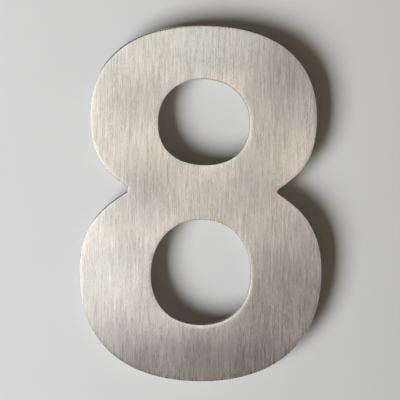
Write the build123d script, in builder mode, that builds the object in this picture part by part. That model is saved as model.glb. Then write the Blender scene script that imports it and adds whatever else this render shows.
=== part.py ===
from build123d import *
import math
import os

os.makedirs("parts", exist_ok=True)

# House number "8": a flat brushed stainless plate that stands off its wall on
# hidden threaded studs, welded to its back, each inside a spacer sleeve.
#
# Frame, in millimetres: the wall is the plane y = 0, the brushed face looks
# along -Y, +Z is up and +X is to the right of someone reading the number. The
# origin lies on the wall, at mid height on the digit's centre line, which is
# also the centre of the stud pattern.

# ---------------------------------------------------------------- plate
digit_height = 150.0           # bottom of the lower bowl to top of the upper one
plate_thickness = 4.0
face_edge_round = 0.25         # deburred front edges, rounded by the brushing
back_edge_break = 0.2          # broken back edges

half_height = digit_height / 2

# right half of the outer contour: a point on the outline is (x, z), and every
# "reach" is the length of the curve handle that leaves that point
crown_reach = 39.29            # flat top of the upper bowl

upper_bowl = (47.92, 36.69)    # widest point of the upper bowl
upper_bowl_reach_up = 16.92
upper_bowl_reach_down = 19.00

waist = (30.85, 5.46)          # where the flanks of the two bowls would meet
waist_upper_angle = 37.4       # flank of the upper bowl, above horizontal
waist_upper_reach = 11.84
waist_lower_angle = 35.4       # flank of the lower bowl, below horizontal
waist_lower_reach = 8.90
waist_round = 1.1              # radius left by the cut in each waist corner

lower_bowl = (51.11, -28.61)   # widest point of the lower bowl
lower_bowl_reach_up = 22.05
lower_bowl_reach_down = 32.88

foot_reach = 28.81             # flat bottom of the lower bowl

# right half of each counter: top, widest point, bottom
upper_counter_top = 52.70
upper_counter_side = (19.45, 34.01)
upper_counter_bottom = 16.17
upper_counter_reaches = (9.55, 12.95, 13.35, 9.85)     # top, up, down, bottom

lower_counter_top = -6.80
lower_counter_side = (21.23, -30.00)
lower_counter_bottom = -51.30
lower_counter_reaches = (13.95, 12.20, 12.00, 13.95)

# ---------------------------------------------------------------- fixings
spacer_length = 6.0            # gap between wall and plate
spacer_outer_radius = 5.0
spacer_bore_radius = 3.2       # slides over the stud and its welding flange
spacer_edge_break = 0.3

stud_radius = 2.0              # M4 thread, modelled at its major diameter
flange_radius = 2.75           # welding flange at the root of the stud
flange_thickness = 0.8
stud_in_wall = 26.0            # length that goes into the drilled wall
stud_end_chamfer = 0.5

stud_spacing_x = 70.0
stud_spacing_z = 65.0


def along(point, angle_deg, distance):
    """The point at a distance from another, at an angle from +X towards +Z."""
    a = math.radians(angle_deg)
    return (point[0] + distance * math.cos(a), point[1] + distance * math.sin(a))


# the waist corner is rounded: its arc is tangent to both flanks
half_opening = math.radians((waist_upper_angle + waist_lower_angle) / 2)
bisector = (waist_upper_angle - waist_lower_angle) / 2
flank_cut = waist_round / math.tan(half_opening)
arc_centre = along(waist, bisector, waist_round / math.sin(half_opening))
arc_top = along(waist, waist_upper_angle, flank_cut)
arc_middle = along(arc_centre, bisector + 180, waist_round)
arc_bottom = along(waist, -waist_lower_angle, flank_cut)

# the back face of the plate, where the studs are welded on
back_face = Plane.XZ.offset(spacer_length)

# ---------------------------------------------------------------- number plate
with BuildPart() as number_plate:
    with BuildSketch(back_face) as digit:
        with BuildLine() as outer_contour:
            Bezier(
                (0, half_height),
                (crown_reach, half_height),
                (upper_bowl[0], upper_bowl[1] + upper_bowl_reach_up),
                upper_bowl,
            )
            Bezier(
                upper_bowl,
                (upper_bowl[0], upper_bowl[1] - upper_bowl_reach_down),
                along(waist, waist_upper_angle, waist_upper_reach),
                arc_top,
            )
            ThreePointArc(arc_top, arc_middle, arc_bottom)
            Bezier(
                arc_bottom,
                along(waist, -waist_lower_angle, waist_lower_reach),
                (lower_bowl[0], lower_bowl[1] + lower_bowl_reach_up),
                lower_bowl,
            )
            Bezier(
                lower_bowl,
                (lower_bowl[0], lower_bowl[1] - lower_bowl_reach_down),
                (foot_reach, -half_height),
                (0, -half_height),
            )
            mirror(about=Plane.YZ)
        make_face()
        for top, side, bottom, reaches in (
            (upper_counter_top, upper_counter_side, upper_counter_bottom,
             upper_counter_reaches),
            (lower_counter_top, lower_counter_side, lower_counter_bottom,
             lower_counter_reaches),
        ):
            with BuildLine() as counter:
                Bezier(
                    (0, top),
                    (reaches[0], top),
                    (side[0], side[1] + reaches[1]),
                    side,
                )
                Bezier(
                    side,
                    (side[0], side[1] - reaches[2]),
                    (reaches[3], bottom),
                    (0, bottom),
                )
                mirror(about=Plane.YZ)
            make_face(mode=Mode.SUBTRACT)
    extrude(amount=plate_thickness)
    front_edges = number_plate.faces().sort_by(Axis.Y)[0].edges()
    fillet(front_edges, face_edge_round)
    back_edges = number_plate.faces().sort_by(Axis.Y)[-1].edges()
    fillet(back_edges, back_edge_break)
number_plate.part.label = "number_plate"
export_step(number_plate.part, "parts/number_plate.step")

# ---------------------------------------------------------------- studs
with BuildPart() as mounting_studs:
    with BuildSketch(back_face):
        with GridLocations(stud_spacing_x, stud_spacing_z, 2, 2):
            Circle(flange_radius)
    extrude(amount=-flange_thickness)
    with BuildSketch(back_face.offset(-flange_thickness)):
        with GridLocations(stud_spacing_x, stud_spacing_z, 2, 2):
            Circle(stud_radius)
    extrude(amount=-(spacer_length - flange_thickness + stud_in_wall))
    wall_ends = mounting_studs.edges().filter_by(GeomType.CIRCLE).group_by(Axis.Y)[-1]
    chamfer(wall_ends, stud_end_chamfer)
mounting_studs.part.label = "mounting_studs"
export_step(mounting_studs.part, "parts/mounting_studs.step")

# ---------------------------------------------------------------- spacers
with BuildPart() as standoff_spacers:
    with BuildSketch(Plane.XZ):
        with GridLocations(stud_spacing_x, stud_spacing_z, 2, 2):
            Circle(spacer_outer_radius)
            Circle(spacer_bore_radius, mode=Mode.SUBTRACT)
    extrude(amount=spacer_length)
    rims = standoff_spacers.edges().filter_by(
        lambda e: e.geom_type == GeomType.CIRCLE
        and abs(e.radius - spacer_outer_radius) < 1e-6
    )
    chamfer(rims, spacer_edge_break)
standoff_spacers.part.label = "standoff_spacers"
export_step(standoff_spacers.part, "parts/standoff_spacers.step")
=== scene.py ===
import math

import bpy
from mathutils import Matrix, Vector
from mathutils.geometry import tessellate_polygon


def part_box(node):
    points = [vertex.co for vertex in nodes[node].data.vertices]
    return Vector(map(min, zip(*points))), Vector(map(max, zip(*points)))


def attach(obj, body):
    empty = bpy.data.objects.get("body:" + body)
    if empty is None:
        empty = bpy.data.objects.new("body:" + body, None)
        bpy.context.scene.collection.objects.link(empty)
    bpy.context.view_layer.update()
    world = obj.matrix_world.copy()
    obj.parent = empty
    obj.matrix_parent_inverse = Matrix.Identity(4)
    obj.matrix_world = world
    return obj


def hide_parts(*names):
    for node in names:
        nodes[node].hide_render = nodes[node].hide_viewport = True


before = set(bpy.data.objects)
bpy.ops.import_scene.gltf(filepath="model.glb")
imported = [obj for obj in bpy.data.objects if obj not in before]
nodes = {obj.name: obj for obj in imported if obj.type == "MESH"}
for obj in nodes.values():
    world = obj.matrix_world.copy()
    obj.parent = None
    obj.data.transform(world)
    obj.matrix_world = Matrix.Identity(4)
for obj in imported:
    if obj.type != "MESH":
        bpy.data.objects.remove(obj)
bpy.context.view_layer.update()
scene = bpy.context.scene
MM = 0.001


# ------------------------------------------------------------------ node help
class Graph:
    """Small helper that adds and joins shader nodes."""

    def __init__(self, tree):
        self.tree = tree
        tree.nodes.clear()
        self.x = 0

    def node(self, kind, **settings):
        n = self.tree.nodes.new(kind)
        self.x += 180
        n.location = (self.x, 0)
        for k, v in settings.items():
            setattr(n, k, v)
        return n

    def put(self, socket, value):
        if isinstance(value, bpy.types.NodeSocket):
            self.tree.links.new(value, socket)
        else:
            socket.default_value = value

    def math(self, op, a, b=None, c=None, clamp=False):
        n = self.node("ShaderNodeMath", operation=op, use_clamp=clamp)
        for s, v in zip(n.inputs, (a, b, c)):
            if v is not None:
                self.put(s, v)
        return n.outputs[0]

    def vec(self, op, a, b=None, scale=None):
        n = self.node("ShaderNodeVectorMath", operation=op)
        self.put(n.inputs[0], a)
        if b is not None:
            self.put(n.inputs[1], b)
        if scale is not None:
            self.put(n.inputs["Scale"], scale)
        return n.outputs["Value"] if op in ("DOT_PRODUCT", "LENGTH") else n.outputs[0]

    def ramp(self, value, lo, hi, out_lo=0.0, out_hi=1.0, kind="SMOOTHSTEP"):
        n = self.node("ShaderNodeMapRange", interpolation_type=kind)
        for s, v in zip(n.inputs, (value, lo, hi, out_lo, out_hi)):
            self.put(s, v)
        return n.outputs[0]

    def noise(self, vector, scale=1.0, detail=2.0, roughness=0.5, distortion=0.0):
        n = self.node("ShaderNodeTexNoise")
        self.put(n.inputs["Vector"], vector)
        self.put(n.inputs["Scale"], scale)
        self.put(n.inputs["Detail"], detail)
        self.put(n.inputs["Roughness"], roughness)
        self.put(n.inputs["Distortion"], distortion)
        return n.outputs[0]

    def mix(self, factor, a, b, kind="MIX"):
        n = self.node("ShaderNodeMix", data_type="RGBA", blend_type=kind)
        self.put(n.inputs[0], factor)
        self.put(n.inputs[6], a)
        self.put(n.inputs[7], b)
        return n.outputs[2]

    def blend(self, factor, a, b):
        n = self.node("ShaderNodeMix", data_type="FLOAT")
        self.put(n.inputs[0], factor)
        self.put(n.inputs[2], a)
        self.put(n.inputs[3], b)
        return n.outputs[0]

    def xyz(self, vector):
        n = self.node("ShaderNodeSeparateXYZ")
        self.put(n.inputs[0], vector)
        return n.outputs[0], n.outputs[1], n.outputs[2]

    def join(self, x, y, z):
        n = self.node("ShaderNodeCombineXYZ")
        for s, v in zip(n.inputs, (x, y, z)):
            self.put(s, v)
        return n.outputs[0]

    def tint(self, color, factor):
        """A colour times a number."""
        n = self.node("ShaderNodeVectorMath", operation="SCALE")
        self.put(n.inputs[0], color)
        self.put(n.inputs["Scale"], factor)
        return n.outputs[0]


def material(name):
    m = bpy.data.materials.new(name)
    m.use_nodes = True
    return m, Graph(m.node_tree)


def finish_metal(g, color, roughness, normal=None, anisotropic=0.0, metallic=1.0):
    s = g.node("ShaderNodeBsdfPrincipled")
    g.put(s.inputs["Base Color"], color)
    g.put(s.inputs["Roughness"], roughness)
    s.inputs["Metallic"].default_value = metallic
    s.inputs["Anisotropic"].default_value = anisotropic
    if normal is not None:
        g.put(s.inputs["Normal"], normal)
    return s.outputs[0]


def bump(g, height, distance, normal=None, strength=1.0):
    n = g.node("ShaderNodeBump")
    g.put(n.inputs["Height"], height)
    n.inputs["Distance"].default_value = distance
    n.inputs["Strength"].default_value = strength
    if normal is not None:
        g.put(n.inputs["Normal"], normal)
    return n.outputs[0]


# ------------------------------------------------------------------ brushed plate
METAL = (0.70, 0.665, 0.60)          # stainless steel, seen straight on
FACE_STREAK, FACE_CLOUD, FACE_STROKE = 1.75, 0.40, 0.16
# (x, z, half width, half height, share brighter or duller), in millimetres: partly uneven
# brushing, partly painted reflection and painted shade
FACE_BRUSHING_AND_PAINTED_SHEEN = (
    (42, 15, 17, 27, 0.38), (35, 56, 20, 34, -0.23), (-28, 43, 21, 17, -0.18),
    (-24, 7, 23, 19, -0.20), (-31, -41, 28, 23, 0.19), (-3, -50, 30, 12, 0.31),
    (7, 50, 14, 10, 0.26), (7, -64, 28, 15, -0.18), (18, -14, 14, 13, 0.20),
    (4, 16, 13, 9, 0.20), (37, -28, 13, 14, -0.17), (42, -53, 16, 13, 0.23),
    (-42, 54, 13, 13, -0.12), (-30, -67, 18, 12, -0.12), (-2, 70, 26, 10, 0.08),
    (-45, -12, 12, 18, 0.12), (-18, -16, 12, 14, 0.12), (20, 9, 14, 11, -0.09),
)
# the same for its hue: towards a warm pink, or with a minus sign towards a cool grey
HUE_PATCHES = (
    (-34, -34, 34, 38, -0.50), (28, -50, 30, 40, 0.30), (8, -71, 24, 15, 0.40), (0, 68, 34, 18, -0.18),
    (-30, 36, 24, 30, 0.28), (12, 47, 14, 12, -0.20), (5, 17, 26, 10, -0.20),
)


def brushed_plate():
    m, g = material("brushed_stainless")
    tc = g.node("ShaderNodeTexCoord")
    x, y, z = g.xyz(tc.outputs["Object"])
    x, y, z = (g.math("MULTIPLY", v, 1000.0) for v in (x, y, z))      # millimetres
    nx, ny, nz = g.xyz(tc.outputs["Normal"])
    front = g.ramp(g.math("MULTIPLY", ny, -1.0), 0.55, 0.9)          # 1 on the face
    side = g.ramp(g.math("ABSOLUTE", ny), 0.25, 0.6, 1.0, 0.0)       # 1 on the cut walls

    # the belt runs straight up and down: thin straight scratches a few tenths of a
    # millimetre wide, each of them fading in and out along its length
    sway = g.math("MULTIPLY", g.math("SUBTRACT", g.noise(g.join(g.math("MULTIPLY", x, 0.03), 0.0, g.math("MULTIPLY", z, 0.02)), detail=1.0), 0.5), 0.9)
    xs = g.math("ADD", x, sway)

    def scratches(seed, across, along, patch):
        """Straight lines, with about one change per 1/across mm sideways and 1/along mm up."""
        line = g.noise(g.join(g.math("MULTIPLY", xs, across), seed, g.math("MULTIPLY", z, 0.085)), detail=2.0, roughness=0.6)
        part = g.noise(g.join(g.math("MULTIPLY", xs, patch), seed + 40.0, g.math("MULTIPLY", z, along)), detail=1.0)
        return g.math("MULTIPLY", g.math("SUBTRACT", line, 0.5), g.ramp(part, 0.36, 0.64))

    fine = g.math("ADD", scratches(1.3, 3.4, 0.36, 2.6), scratches(5.7, 3.0, 0.48, 3.0))
    middle = g.math("ADD", scratches(9.1, 2.3, 0.26, 1.5), scratches(13.9, 2.0, 0.33, 1.8))
    long = g.math("SUBTRACT", g.noise(g.join(g.math("MULTIPLY", xs, 1.0), y, g.math("MULTIPLY", z, 0.045)), detail=3.0, roughness=0.6), 0.5)
    streak = g.math("ADD", g.math("ADD", g.math("MULTIPLY", fine, 0.66), g.math("MULTIPLY", middle, 0.46)), g.math("MULTIPLY", long, 0.11))

    # single strokes of coarser grit: bright ones and dull ones, a few millimetres long
    bright = g.noise(g.join(g.math("MULTIPLY", xs, 2.3), 7.0, g.math("MULTIPLY", z, 0.10)), detail=1.0)
    bright = g.ramp(bright, 0.66, 0.80)
    dull = g.noise(g.join(g.math("MULTIPLY", xs, 2.4), 23.0, g.math("MULTIPLY", z, 0.055)), detail=1.0)
    dull = g.ramp(dull, 0.68, 0.82)
    stroke = g.math("SUBTRACT", bright, g.math("MULTIPLY", dull, 0.15))

    # broad unevenness left by the belt, drawn out along its run, and a faint
    # cloudiness of handling
    cloud = g.noise(g.join(g.math("MULTIPLY", x, 0.060), g.math("ADD", y, 3.0), g.math("MULTIPLY", z, 0.030)), detail=2.0, roughness=0.5)
    smear = g.noise(g.join(g.math("MULTIPLY", x, 0.21), 11.0, g.math("MULTIPLY", z, 0.032)), detail=2.0, roughness=0.5)
    cloud = g.math("SUBTRACT", g.math("ADD", g.math("MULTIPLY", cloud, 0.6), g.math("MULTIPLY", smear, 0.4)), 0.5)

    face_tone = g.math("ADD", 1.0, g.math("MULTIPLY", streak, FACE_STREAK))
    face_tone = g.math("ADD", face_tone, g.math("MULTIPLY", cloud, FACE_CLOUD))
    face_tone = g.math("ADD", face_tone, g.math("MULTIPLY", stroke, FACE_STROKE))
    face_tone = g.math("MINIMUM", g.math("MAXIMUM", face_tone, 0.74), 1.45)

    # soft patches, set against the photo, region by region: partly uneven brushing, and partly
    # painted reflection and painted shade that the simple room below doesn't hold
    def patch(cx, cz, wide, high, rim, middle):
        px = g.math("MULTIPLY", g.math("SUBTRACT", x, cx), 1.0 / wide)
        pz = g.math("MULTIPLY", g.math("SUBTRACT", z, cz), 1.0 / high)
        apart = g.math("SQRT", g.math("ADD", g.math("MULTIPLY", px, px), g.math("MULTIPLY", pz, pz)))
        return g.ramp(apart, 1.0, 0.0, rim, middle)

    for cx, cz, wide, high, gain in FACE_BRUSHING_AND_PAINTED_SHEEN:
        face_tone = g.math("MULTIPLY", face_tone, patch(cx, cz, wide, high, 1.0, 1.0 + gain))
    # broad patches of the face lean to a warm pink or a cool green
    hue = g.noise(g.join(g.math("MULTIPLY", x, 0.075), 57.0, g.math("MULTIPLY", z, 0.055)), detail=3.0, roughness=0.55)
    hue = g.ramp(hue, 0.32, 0.68, 0.28, 0.72)
    for cx, cz, wide, high, shift in HUE_PATCHES:
        hue = g.math("ADD", hue, patch(cx, cz, wide, high, 0.0, shift))
    hue = g.math("MINIMUM", g.math("MAXIMUM", hue, 0.0), 1.0)
    face_metal = g.mix(hue, (0.684, 0.672, 0.615, 1), (0.727, 0.653, 0.584, 1))
    face_color = g.tint(face_metal, face_tone)

    # cut walls: striations across the thickness, a slightly darker cut skin
    across = g.noise(g.join(g.math("MULTIPLY", x, 3.4), g.math("MULTIPLY", y, 0.35), g.math("MULTIPLY", z, 3.4)), detail=2.0, roughness=0.6)
    across = g.math("SUBTRACT", across, 0.5)
    wall_tone = g.math("ADD", 0.97, g.math("MULTIPLY", across, 0.45))
    wall_color = g.tint(METAL, wall_tone)
    color = g.mix(side, face_color, wall_color)

    rough_face = g.math("ADD", 0.275, g.math("MULTIPLY", streak, 0.16))
    rough_face = g.math("ADD", rough_face, g.math("MULTIPLY", cloud, 0.10))
    rough_wall = g.math("ADD", 0.36, g.math("MULTIPLY", across, 0.15))
    rough = g.blend(side, rough_face, rough_wall)

    height = g.blend(side, g.math("ADD", streak, g.math("MULTIPLY", stroke, 0.2)), across)
    normal = bump(g, height, 0.000006)
    out = g.node("ShaderNodeOutputMaterial")
    g.put(out.inputs[0], finish_metal(g, color, rough, normal, anisotropic=0.5))
    return m


# ------------------------------------------------------------------ studs and spacers
def rolled_thread():
    m, g = material("rolled_thread_steel")
    tc = g.node("ShaderNodeTexCoord")
    p = g.vec("SCALE", tc.outputs["Object"], scale=1000.0)
    n = g.math("SUBTRACT", g.noise(p, 1.3, 3.0, 0.6), 0.5)
    fine = g.math("SUBTRACT", g.noise(p, 9.0, 2.0, 0.6), 0.5)
    tone = g.math("ADD", 1.0, g.math("ADD", g.math("MULTIPLY", n, 0.25), g.math("MULTIPLY", fine, 0.12)))
    color = g.tint((0.58, 0.575, 0.56), tone)
    rough = g.math("ADD", 0.30, g.math("MULTIPLY", n, 0.18))
    out = g.node("ShaderNodeOutputMaterial")
    g.put(out.inputs[0], finish_metal(g, color, rough, bump(g, fine, 0.00001)))
    return m


def turned_spacer():
    m, g = material("turned_aluminium")
    tc = g.node("ShaderNodeTexCoord")
    x, y, z = g.xyz(g.vec("SCALE", tc.outputs["Object"], scale=1000.0))
    ny = g.math("ABSOLUTE", g.xyz(tc.outputs["Normal"])[1])
    end = g.ramp(ny, 0.6, 0.9)
    # distance from the axis of the nearest sleeve, for the turning marks on its ends
    dx = g.math("SUBTRACT", g.math("ABSOLUTE", x), 35.0)
    dz = g.math("SUBTRACT", g.math("ABSOLUTE", z), 32.5)
    r = g.math("SQRT", g.math("ADD", g.math("MULTIPLY", dx, dx), g.math("MULTIPLY", dz, dz)))
    rings = g.noise(g.join(g.math("MULTIPLY", r, 7.0), 0.0, 0.0), detail=2.0)
    turns = g.noise(g.join(g.math("MULTIPLY", y, 7.0), 3.0, 0.0), detail=2.0)
    marks = g.math("SUBTRACT", g.blend(end, turns, rings), 0.5)
    matt = g.math("SUBTRACT", g.noise(g.join(x, y, z), 1.1, 3.0, 0.6), 0.5)
    tone = g.math("ADD", 1.0, g.math("ADD", g.math("MULTIPLY", marks, 0.25), g.math("MULTIPLY", matt, 0.12)))
    color = g.tint((0.74, 0.74, 0.75), tone)
    rough = g.math("ADD", 0.42, g.math("MULTIPLY", marks, 0.2))
    out = g.node("ShaderNodeOutputMaterial")
    g.put(out.inputs[0], finish_metal(g, color, rough, bump(g, marks, 0.00002)))
    return m


plate_metal = brushed_plate()
thread_metal = rolled_thread()
spacer_metal = turned_spacer()


def wear(obj, mat):
    obj.data.materials.clear()
    obj.data.materials.append(mat)
    for p in obj.data.polygons:
        p.material_index = 0


wear(nodes["number_plate"], plate_metal)
wear(nodes["mounting_studs"], thread_metal)
wear(nodes["standoff_spacers"], spacer_metal)


# ------------------------------------------------------------------ plate with worn edges
# Brushing leaves the face slightly crowned along every edge, before the small
# deburred round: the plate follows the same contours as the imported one, with that
# crown added, so that the rims catch the light as they do on the real thing.
plate_lo, plate_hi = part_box("number_plate")
FACE_Y, BACK_Y = plate_lo.y / MM, plate_hi.y / MM
# the tilts are tuned until the rims match the photo. That a belt which leans to the left
# wears the edges that face left most, and the ends of its run least, is a guess
CROWN_LEFT, CROWN_RIGHT, CROWN_END = math.radians(5.2), math.radians(2.0), math.radians(1.0)
CROWN_LOW_LEFT = math.radians(3.0)   # left edge of the lower bowl
CROWN_COUNTER = math.radians(4.5)    # ends of the counters, where they don't face right
CROWN_WIDTH, CROWN_POWER = 2.1, 2.0
# the deburred round is small, but for the outer edges that face up and to the left, which
# show as a dark line in the photo and are taken to be rounder
OUTER_ROUND, UPPER_LEFT_ROUND, COUNTER_ROUND, BACK_BREAK = 0.25, 0.75, 0.14, 0.2
STEP_MM = 0.6


def bezier(p0, p1, p2, p3):
    """Points and directions along one curve, both ends included."""
    rough = 0.0
    last = p0
    for i in range(1, 33):
        t = i / 32
        q = tuple((1 - t) ** 3 * a + 3 * (1 - t) ** 2 * t * b + 3 * (1 - t) * t * t * c + t ** 3 * d for a, b, c, d in zip(p0, p1, p2, p3))
        rough += math.dist(q, last)
        last = q
    n = max(8, round(rough / STEP_MM))
    out = []
    for i in range(n + 1):
        t = i / n
        q = tuple((1 - t) ** 3 * a + 3 * (1 - t) ** 2 * t * b + 3 * (1 - t) * t * t * c + t ** 3 * d for a, b, c, d in zip(p0, p1, p2, p3))
        v = tuple((1 - t) ** 2 * (b - a) + 2 * (1 - t) * t * (c - b) + t * t * (d - c) for a, b, c, d in zip(p0, p1, p2, p3))
        length = math.hypot(*v)
        out.append((q, (v[0] / length, v[1] / length)))
    return out


def along(point, angle, distance):
    a = math.radians(angle)
    return (point[0] + distance * math.cos(a), point[1] + distance * math.sin(a))


def outer_half():
    """Right half of the outer contour, from the top to the bottom, clockwise."""
    top, bottom, bowl, low_bowl, waist = 75.0, -75.0, (47.92, 36.69), (51.11, -28.61), (30.85, 5.46)
    up, down, r = 37.4, 35.4, 1.1
    half = math.radians((up + down) / 2)
    cut = r / math.tan(half)
    middle = along(waist, (up - down) / 2, r / math.sin(half))
    arc_top, arc_bottom = along(waist, up, cut), along(waist, -down, cut)
    pts = bezier((0, top), (39.29, top), (bowl[0], bowl[1] + 16.92), bowl)
    pts += bezier(bowl, (bowl[0], bowl[1] - 19.00), along(waist, up, 11.84), arc_top)[1:]
    a0 = math.atan2(arc_top[1] - middle[1], arc_top[0] - middle[0])
    a1 = math.atan2(arc_bottom[1] - middle[1], arc_bottom[0] - middle[0])
    a0, a1 = a0 % (2 * math.pi), a1 % (2 * math.pi)
    for i in range(1, 13):
        a = a0 + (a1 - a0) * i / 12
        s = 1 if a1 > a0 else -1
        pts.append(((middle[0] + r * math.cos(a), middle[1] + r * math.sin(a)), (-math.sin(a) * s, math.cos(a) * s)))
    pts += bezier(arc_bottom, along(waist, -down, 8.90), (low_bowl[0], low_bowl[1] + 22.05), low_bowl)[1:]
    pts += bezier(low_bowl, (low_bowl[0], low_bowl[1] - 32.88), (28.81, bottom), (0, bottom))[1:]
    return pts


def counter_half(top, side, bottom, reaches):
    pts = bezier((0, top), (reaches[0], top), (side[0], side[1] + reaches[1]), side)
    return pts + bezier(side, (side[0], side[1] - reaches[2]), (reaches[3], bottom), (0, bottom))[1:]


def closed(half, hole):
    """The whole contour with, for each point, the direction into the metal."""
    left = [((-p[0], p[1]), (v[0], -v[1])) for p, v in reversed(half[1:-1])]
    # both halves run clockwise, so the metal of the outer contour is on their right
    turn = -1.0 if hole else 1.0
    return [(p, (v[1] * turn, -v[0] * turn)) for p, v in half + left]


def edge_round(inward, hole):
    if hole:
        return COUNTER_ROUND
    facing = math.degrees(math.atan2(-inward[1], -inward[0]))
    away = max(0.0, abs(facing - 120.0) - 13.0) / 24.0
    share = 0.0 if away >= 1.0 else (1.0 - away * away) ** 2
    return OUTER_ROUND + (UPPER_LEFT_ROUND - OUTER_ROUND) * share


def smooth(u):
    u = min(1.0, max(0.0, u))
    return u * u * (3 - 2 * u)


def edge_tilt(point, inward, hole):
    """How far the worn face leans over at this point of a contour."""
    sideways = inward[0] ** 2
    left, end = CROWN_LEFT, CROWN_END
    if hole:
        # the top of the lower counter is the one end that shows no wear
        if point[1] > 0 or inward[1] < 0:
            end += (CROWN_COUNTER - CROWN_END) * smooth(1.0 + inward[0] / 0.6)
    else:
        left += (CROWN_LOW_LEFT - CROWN_LEFT) * smooth((8.0 - point[1]) / 16.0)
    return (left if inward[0] > 0 else CROWN_RIGHT) * sideways + end * (1 - sideways)


def section(a0, r):
    """(distance from the contour into the metal, y), from the flat face round to the back,
    for this tilt at the edge and this edge radius."""
    t0 = r * (1 - math.sin(a0))
    steps = 14
    out = []
    for i in range(steps + 1):
        u = 1.0 - i / steps                          # 1 where the crown begins, 0 at the round
        out.append((t0 + CROWN_WIDTH * u, u))
    prof, drop = [(out[0][0], FACE_Y)], 0.0
    for (ta, ua), (tb, ub) in zip(out, out[1:]):
        mid = 0.5 * (ua + ub)
        drop += (ta - tb) * math.tan(a0 * (1 - mid) ** CROWN_POWER)
        prof.append((tb, FACE_Y + drop))
    centre = FACE_Y + drop + r * math.cos(a0)
    for i in range(1, 9):
        a = a0 + (math.pi / 2 - a0) * i / 8
        prof.append((r - r * math.sin(a), centre - r * math.cos(a)))
    b = BACK_BREAK
    prof.append((0.0, 0.5 * (centre + BACK_Y - b)))
    for i in range(5):
        a = math.pi / 2 * i / 4
        prof.append((b - b * math.cos(a), BACK_Y - b + b * math.sin(a)))
    prof.append((b + 0.4, BACK_Y))
    return prof


def build_plate():
    contours = [
        closed(outer_half(), False),
        closed(counter_half(52.70, (19.45, 34.01), 16.17, (9.55, 12.95, 13.35, 9.85)), True),
        closed(counter_half(-6.80, (21.23, -30.00), -51.30, (13.95, 12.20, 12.00, 13.95)), True),
    ]
    verts, faces, front, rear = [], [], [], []
    for points in contours:
        first, n = len(verts), len(points)
        hole = points is not contours[0]
        profs = [section(edge_tilt(p, inward, hole), edge_round(inward, hole)) for p, inward in points]
        rings = len(profs[0])
        for i in range(rings):
            for ((px, pz), (ix, iz)), prof in zip(points, profs):
                t, y = prof[i]
                verts.append(Vector(((px + ix * t) * MM, y * MM, (pz + iz * t) * MM)))
        for i in range(rings - 1):
            for k in range(n):
                a, b = first + i * n + k, first + i * n + (k + 1) % n
                quad = (a, b, b + n, a + n)
                faces.append(quad[::-1] if hole else quad)
        front.append([first + k for k in range(n)])
        rear.append([first + (rings - 1) * n + k for k in range(n)])
    for loops, towards in ((front, -1.0), (rear, 1.0)):
        flat = [i for loop in loops for i in loop]
        for tri in tessellate_polygon([[(verts[i].x, verts[i].z, 0.0) for i in loop] for loop in loops]):
            a, b, c = (flat[k] for k in tri)
            up_y = (verts[b] - verts[a]).cross(verts[c] - verts[a]).y
            if up_y != 0.0:
                faces.append((a, b, c) if up_y * towards > 0 else (a, c, b))
    mesh = bpy.data.meshes.new("brushed_digit")
    mesh.from_pydata(verts, [], faces)
    mesh.validate()
    mesh.update()
    for p in mesh.polygons:
        p.use_smooth = True
    obj = bpy.data.objects.new("brushed_digit", mesh)
    scene.collection.objects.link(obj)
    mesh.materials.append(plate_metal)
    return obj


digit = build_plate()
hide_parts("number_plate")
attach(digit, "root")


# ------------------------------------------------------------------ threaded studs
stud_lo, stud_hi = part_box("mounting_studs")
STUD_X, STUD_Z = 35.0, 32.5          # half of the stud pattern
ROOT, FLANGE_TOP = stud_lo.y / MM, stud_lo.y / MM + 0.8
WALL_END = stud_hi.y / MM
MAJOR, PITCH, DEPTH = 2.0, 0.7, 0.42
FLANGE_R = 2.75
AROUND, PER_PITCH = 40, 8


def thread_radius(y, turn):
    """Radius of the thread at a height y, with turn = angle / one turn."""
    t = (y / PITCH - turn) % 1.0
    # flat crest, 60 degree flanks, narrow rounded root
    if t < 0.06 or t > 0.94:
        cut = 0.0
    else:
        u = abs(t - 0.5) / 0.44
        cut = 1.0 - max(0.0, (u - 0.22) / 0.78)
        cut = cut if u > 0.22 else 1.0
    run_out = min(1.0, max(0.0, (y - FLANGE_TOP - 0.5) / 0.9))
    r = MAJOR - DEPTH * cut * run_out
    lead_in = MAJOR - 0.5 + (WALL_END - y)          # 45 degree chamfer at the end
    return min(r, lead_in)


def stud_profile():
    rings = []                                      # (y, None or fixed radius)
    rings.append((ROOT, FLANGE_R - 0.1))
    rings.append((ROOT + 0.1, FLANGE_R))
    rings.append((FLANGE_TOP - 0.1, FLANGE_R))
    rings.append((FLANGE_TOP, FLANGE_R - 0.1))
    rings.append((FLANGE_TOP, MAJOR + 0.25))
    rings.append((FLANGE_TOP + 0.08, MAJOR + 0.08))
    rings.append((FLANGE_TOP + 0.25, MAJOR))
    y = FLANGE_TOP + 0.5
    step = PITCH / PER_PITCH
    while y < WALL_END - 1e-6:
        rings.append((y, None))
        y += step
    rings.append((WALL_END, None))
    return rings


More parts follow.
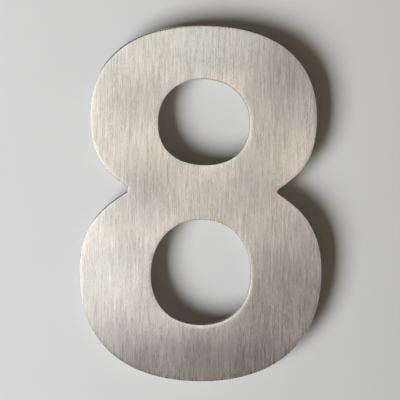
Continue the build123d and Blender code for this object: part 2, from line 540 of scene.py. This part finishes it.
def build_studs():
    verts, faces = [], []
    rings = stud_profile()
    for cx in (-STUD_X, STUD_X):
        for cz in (-STUD_Z, STUD_Z):
            first = len(verts)
            for y, fixed in rings:
                for k in range(AROUND):
                    turn = k / AROUND
                    r = fixed if fixed is not None else thread_radius(y, turn)
                    a = 2 * math.pi * turn
                    # seen from the wall end the thread winds clockwise going in
                    verts.append(((cx + r * math.cos(a)) * MM, y * MM, (cz + r * math.sin(a)) * MM))
            for i in range(len(rings) - 1):
                for k in range(AROUND):
                    a = first + i * AROUND + k
                    b = first + i * AROUND + (k + 1) % AROUND
                    faces.append((a, a + AROUND, b + AROUND, b))
            root_c = len(verts)
            verts.append((cx * MM, ROOT * MM, cz * MM))
            end_c = len(verts)
            verts.append((cx * MM, WALL_END * MM, cz * MM))
            last = first + (len(rings) - 1) * AROUND
            for k in range(AROUND):
                faces.append((root_c, first + k, first + (k + 1) % AROUND))
                faces.append((end_c, last + (k + 1) % AROUND, last + k))
    mesh = bpy.data.meshes.new("threaded_studs")
    mesh.from_pydata(verts, [], faces)
    mesh.validate()
    mesh.update()
    obj = bpy.data.objects.new("threaded_studs", mesh)
    scene.collection.objects.link(obj)
    obj.data.materials.append(thread_metal)
    for p in mesh.polygons:
        p.use_smooth = True
    mesh.set_sharp_from_angle(angle=math.radians(35))
    return obj


studs = build_studs()
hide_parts("mounting_studs")
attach(studs, "root")


# ------------------------------------------------------------------ stage
def sheet(name, corners, mat):
    mesh = bpy.data.meshes.new(name)
    mesh.from_pydata(corners, [], [(0, 1, 2, 3)])
    mesh.update()
    obj = bpy.data.objects.new(name, mesh)
    scene.collection.objects.link(obj)
    mesh.materials.append(mat)
    return obj


def wall_paint():
    m, g = material("wall_paint")
    tc = g.node("ShaderNodeTexCoord")
    x, y, z = g.xyz(tc.outputs["Object"])
    paint = g.math("SUBTRACT", g.noise(tc.outputs["Object"], 60.0, 3.0), 0.5)
    tone = g.math("ADD", 1.0, g.math("MULTIPLY", paint, 0.02))
    # painted light: the wall is made lighter towards the top and darker towards the bottom, standing in for how the
    # light falls across it
    tone = g.math("MULTIPLY", tone, g.ramp(z, -0.080, 0.091, 0.95, 1.12, kind="LINEAR"))
    s = g.node("ShaderNodeBsdfDiffuse")
    g.put(s.inputs[0], g.tint((0.82, 0.82, 0.82), tone))
    # only the side that faces the reader is painted: from behind it is open, also
    # to what the metal mirrors when it is seen from there
    see = g.node("ShaderNodeBsdfTransparent")
    geo = g.node("ShaderNodeNewGeometry")
    path = g.node("ShaderNodeLightPath")
    through = g.math("MULTIPLY", path.outputs["Is Glossy Ray"], g.math("GREATER_THAN", path.outputs["Transparent Depth"], 0.5))
    mixer = g.node("ShaderNodeMixShader")
    g.put(mixer.inputs[0], g.math("MAXIMUM", geo.outputs["Backfacing"], through))
    g.put(mixer.inputs[1], s.outputs[0])
    g.put(mixer.inputs[2], see.outputs[0])
    out = g.node("ShaderNodeOutputMaterial")
    g.put(out.inputs[0], mixer.outputs[0])
    return m


def floor_paint():
    """Pale and evenly lit, so that it gives its own light instead of taking the key's."""
    m, g = material("floor_paint")
    tc = g.node("ShaderNodeTexCoord")
    tone = g.math("ADD", 1.0, g.math("MULTIPLY", g.math("SUBTRACT", g.noise(tc.outputs["Object"], 8.0, 3.0), 0.5), 0.03))
    far = g.ramp(g.vec("LENGTH", tc.outputs["Object"]), 0.9, 4.0)
    s = g.node("ShaderNodeEmission")
    g.put(s.inputs[0], g.tint(g.mix(far, (0.60, 0.60, 0.59, 1), (0.72, 0.72, 0.71, 1)), tone))
    out = g.node("ShaderNodeOutputMaterial")
    g.put(out.inputs[0], s.outputs[0])
    return m


BEHIND = 0.00004
wall = sheet("wall", [(-3, BEHIND, -0.7), (3, BEHIND, -0.7), (3, BEHIND, 3), (-3, BEHIND, 3)], wall_paint())
floor = sheet("floor", [(-6, -6, -0.7), (6, -6, -0.7), (6, 6, -0.7), (-6, 6, -0.7)], floor_paint())
floor.visible_glossy = False
floor.visible_diffuse = False
wall.visible_shadow = False


# ------------------------------------------------------------------ light
def area_light(name, place, target, width, height, power, color):
    data = bpy.data.lights.new(name, "AREA")
    data.shape = "RECTANGLE"
    data.size, data.size_y = width, height
    data.energy = power
    data.color = color
    obj = bpy.data.objects.new(name, data)
    scene.collection.objects.link(obj)
    n = (Vector(target) - Vector(place)).normalized()
    side = Vector((0, 0, 1)).cross(n).normalized()
    turn = Matrix((side, (-n).cross(side), -n)).transposed()
    obj.matrix_world = Matrix.Translation(place) @ turn.to_4x4()
    return obj


key = area_light("key_light", (-0.650, -0.600, -0.479), (0, -0.008, 0), 0.416, 0.600, 12.3, (0.977, 1.0, 1.029))
key.visible_glossy = False           # the room below holds what the metal mirrors

world = bpy.data.worlds.new("studio")
scene.world = world
world.use_nodes = True
world.cycles.sampling_method = "NONE"


def studio_world():
    g = Graph(world.node_tree)
    tc = g.node("ShaderNodeTexCoord")
    dx, dy, dz = g.xyz(tc.outputs["Generated"])
    path = g.node("ShaderNodeLightPath")
    # the room as the metal mirrors it, in front of the wall: a bright side at the
    # left and above, a dimmer side at the right, a bright gap low at the left, and
    # below it whoever stands there, dark and cut off by a slanting edge
    def slant(angle, offset, soft):
        """0 to 1 across a soft straight edge in the picture that the metal mirrors."""
        a = g.math("MULTIPLY", dx, math.cos(angle))
        b = g.math("MULTIPLY", dz, math.sin(angle))
        return g.ramp(g.math("SUBTRACT", g.math("ADD", a, b), offset), -soft, soft)

    near = g.ramp(dx, -0.55, -0.40)                   # the person isn't that far left
    glow = g.math("SUBTRACT", 1.0, slant(0.964, -0.093, 0.041))
    dim = slant(-1.134, -0.099, 0.038)
    corner = g.math("SUBTRACT", slant(0.85, 0.215, 0.03), slant(0.85, 0.45, 0.04))
    # dark above, from straight up round to where the bright side begins
    rise = g.math("ADD", dz, g.math("MULTIPLY", g.math("MINIMUM", dx, 0.0), 0.50))
    off = g.math("SQRT", g.math("ADD", g.math("MULTIPLY", dx, dx), g.math("MULTIPLY", dz, dz)))
    overhead = g.math("MULTIPLY", g.ramp(rise, 0.0, 0.10), g.ramp(off, 0.32, 0.41))
    overhead = g.math("MULTIPLY", overhead, g.ramp(dx, 0.25, 0.05))
    gap = g.math("SUBTRACT", 1.0, slant(1.513, -0.084, 0.03))
    person = g.math("MULTIPLY", slant(-1.354, 0.094, 0.035), near)
    room = g.mix(glow, (1.185, 1.265, 1.205, 1), (1.585, 1.885, 2.005, 1))
    room = g.mix(dim, room, (0.632, 0.526, 0.506, 1), "MULTIPLY")
    room = g.mix(corner, room, (0.14, 0.14, 0.19, 1), "MULTIPLY")
    room = g.mix(overhead, room, (0.03, 0.03, 0.03, 1), "MULTIPLY")
    room = g.tint(room, g.math("ADD", 1.0, g.math("MULTIPLY", gap, g.math("ADD", 0.1, g.math("MULTIPLY", g.ramp(dx, -0.36, -0.20), 2.9)))))
    room = g.tint(room, g.ramp(dx, -0.06, -0.20, 1.0, 1.42))
    room = g.mix(person, room, (0.037, 0.030, 0.033, 1))
    # plain pale walls far out to both sides and a pale floor far below
    aside = g.math("MULTIPLY", g.ramp(dx, -0.42, -0.62), g.math("SUBTRACT", 1.0, overhead))
    room = g.mix(aside, room, (1.02, 1.03, 1.01, 1))
    room = g.mix(g.ramp(dx, 0.45, 0.65), room, (0.58, 0.585, 0.575, 1))
    room = g.mix(g.ramp(dz, -0.74, -0.92), room, (0.62, 0.62, 0.61, 1))
    behind = g.ramp(dy, -0.25, 0.15)
    room = g.mix(behind, room, (0.80, 0.80, 0.79, 1))
    # the dark overhead also leaves less to fill the shadows from above than from below
    upward = g.ramp(dz, -0.35, 0.55)
    ambient = g.mix(upward, (0.136, 0.108, 0.075, 1), (0.032, 0.026, 0.019, 1))
    bounced = g.mix(upward, (0.30, 0.39, 0.27, 1), (0.06, 0.085, 0.06, 1))    # by way of the metal onto the wall
    shown = (0.72, 0.72, 0.71, 1)
    first = g.math("LESS_THAN", path.outputs["Diffuse Depth"], 0.5)
    seen = g.mix(first, bounced, room)
    seen = g.mix(path.outputs["Is Glossy Ray"], ambient, seen)
    seen = g.mix(path.outputs["Is Camera Ray"], seen, shown)
    back = g.node("ShaderNodeBackground")
    g.put(back.inputs[0], seen)
    out = g.node("ShaderNodeOutputWorld")
    g.put(out.inputs[0], back.outputs[0])


studio_world()
scene.view_settings.view_transform = "Standard"
scene.view_settings.look = "None"

# ------------------------------------------------------------------ camera
YAW = math.radians(-3.364)           # the camera stands a little to the left
ROLL = math.radians(1.151)           # and leans a little
DISTANCE = 0.42157
target = Vector((0.0, -0.010, 0.006722))
right = Vector((math.cos(YAW), math.sin(YAW), 0.0))
back = Vector((math.sin(YAW), -math.cos(YAW), 0.0))
up = Vector((0.0, 0.0, 1.0))
cam_right = math.cos(ROLL) * right + math.sin(ROLL) * up
cam_up = -math.sin(ROLL) * right + math.cos(ROLL) * up
camera_data = bpy.data.cameras.new("camera")
camera_data.sensor_width = 36.0
camera_data.lens = 90.0
camera_data.shift_x = -0.00728
camera_data.shift_y = -0.03104
camera_data.clip_start = 0.01
camera = bpy.data.objects.new("camera", camera_data)
scene.collection.objects.link(camera)
turn = Matrix((cam_right, cam_up, back)).transposed()
camera.matrix_world = Matrix.Translation(target + back * DISTANCE) @ turn.to_4x4()
scene.camera = camera

# ------------------------------------------------------------------ update
bpy.context.view_layer.update()
